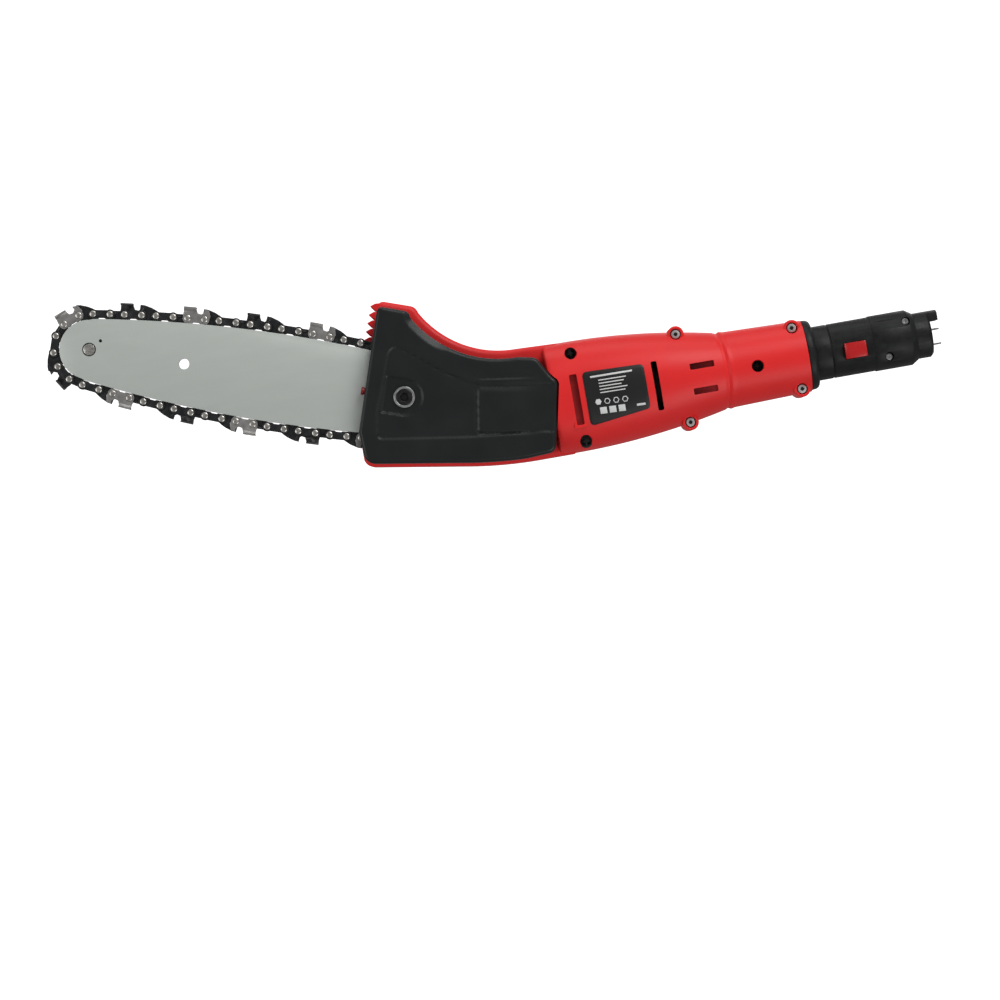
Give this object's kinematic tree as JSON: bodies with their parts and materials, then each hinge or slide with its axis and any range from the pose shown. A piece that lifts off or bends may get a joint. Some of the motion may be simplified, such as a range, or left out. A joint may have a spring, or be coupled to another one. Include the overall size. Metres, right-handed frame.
{
  "type": "pole saw head",
  "caption": "Chain saw head for a telescoping pole: red motor housing, black sprocket cover, short guide bar with chain, and a round quick-connect plug.",
  "frame": {"origin": "on the plug's axis, half way along its plain barrel between the release buttons and the stepped nose", "axes": "+X along the pole's axis, from the saw towards the plug's tip; +Y from the sprocket cover towards the back of the housing; +Z towards the bumper spikes"},
  "size_m": [0.5372, 0.0583, 0.1407],
  "materials": {
    "red_housing": "satin moulded",
    "black_cover": "satin moulded",
    "plate_black": "printed film, blank",
    "plug_black": "fine texture",
    "red_button": "semi-gloss",
    "bright_steel": "ground",
    "inner_black": "moulded",
    "contact_metal": "nickel plated",
    "dark_screws": "blackened",
    "bright_screws": "zinc plated",
    "lead_insulation": "matte",
    "bar_steel": "grey lacquer",
    "rivet_steel": "bright",
    "gear_steel": "machined",
    "chain_black": "blued",
    "cutter_steel": "chromed, ground",
    "cutter_dark": "in shadow grey",
    "nut_black": "black oxide",
    "tension_red": "dark red",
    "gear_case": "die cast",
    "motor_steel": "zinc plated",
    "magnet": "sintered",
    "copper_winding": "enamelled wire"
  },
  "bodies": {
    "saw_head": {"housing_front": "red_housing", "housing_back": "red_housing", "sprocket_cover": "black_cover", "rating_plate": "plate_black", "plug_collar": "plug_black", "plug_shell_front": "plug_black", "plug_shell_back": "plug_black", "button_spring_front": "bright_steel", "button_spring_back": "bright_steel", "contact_carrier": "inner_black", "contact_blades": "contact_metal", "plug_screws": "dark_screws", "housing_screws": "dark_screws", "lug_screws": "bright_screws", "motor_leads": "lead_insulation", "bar_stud": "bright_steel", "nut_washer": "bright_steel", "bar_pad": "gear_steel", "front_bearing": "bright_steel", "back_bearing": "bright_steel", "gear_case": "gear_case", "motor_can": "motor_steel", "motor_magnets": "magnet", "motor_end_cap": "inner_black", "carbon_brushes": "magnet"},
    "bar_and_chain": {"guide_bar": "bar_steel", "nose_rivet": "rivet_steel", "chain_drive_links": "chain_black", "chain_cutters_near": "cutter_steel", "chain_cutters_far": "cutter_dark", "chain_tie_straps": "chain_black", "chain_rivets": "rivet_steel", "tension_slider": "gear_steel"},
    "nose_wheel": {"nose_sprocket": "gear_steel"},
    "drive_train": {"drive_sprocket": "gear_steel", "drive_shaft": "bright_steel", "retaining_clip": "bright_steel", "crown_gear": "gear_steel"},
    "rotor": {"motor_armature": "copper_winding", "motor_shaft": "bright_steel", "motor_pinion": "gear_steel", "cooling_fan": "inner_black"},
    "clamp_nut": {"bar_nut": "nut_black"},
    "tension_adjuster": {"tension_screw": "tension_red"},
    "front_button": {"release_button_front": "red_button"},
    "back_button": {"release_button_back": "red_button"}
  },
  "joints": [
    {"name": "drive_spin", "type": "hinge", "parent": "saw_head", "child": "drive_train", "pos_m": [-0.24109, 0, -0.00203], "axis": [0, 1, 0], "continuous": true},
    {"name": "motor_spin", "type": "hinge", "parent": "saw_head", "child": "rotor", "pos_m": [-0.19109, 0, -0.00203], "axis": [1, 0, 0], "continuous": true},
    {"name": "nose_spin", "type": "hinge", "parent": "bar_and_chain", "child": "nose_wheel", "pos_m": [-0.4791, -0.017, 0.0783], "axis": [0, 1, 0], "continuous": true},
    {"name": "bar_tension", "type": "slide", "parent": "saw_head", "child": "bar_and_chain", "axis": [-0.9475, 0, 0.3198], "range_m": [-0.004, 0]},
    {"name": "tension_screw_turn", "type": "hinge", "parent": "saw_head", "child": "tension_adjuster", "pos_m": [-0.31424, -0.024, 0.02266], "axis": [0.9475, 0, -0.3198], "range_deg": [-1800.1, 0]},
    {"name": "clamp_nut_turn", "type": "hinge", "parent": "saw_head", "child": "clamp_nut", "pos_m": [-0.29623, -0.024, 0.01658], "axis": [0, -1, 0], "continuous": true},
    {"name": "front_button_press", "type": "slide", "parent": "saw_head", "child": "front_button", "axis": [0, 1, 0], "range_m": [0, 0.0025], "stiffness_N_per_m": 350, "springref_m": -0.0015, "deforming": ["button_spring_front"]},
    {"name": "back_button_press", "type": "slide", "parent": "saw_head", "child": "back_button", "axis": [0, -1, 0], "range_m": [0, 0.0025], "stiffness_N_per_m": 350, "springref_m": -0.0015, "deforming": ["button_spring_back"]}
  ],
  "couplings": [
    {"joint": "motor_spin", "follows": "drive_spin", "ratio": -4},
    {"joint": "nose_spin", "follows": "drive_spin", "ratio": 0.85714},
    {"joint": "tension_screw_turn", "follows": "bar_tension", "rad_per_m": 7854}
  ]
}
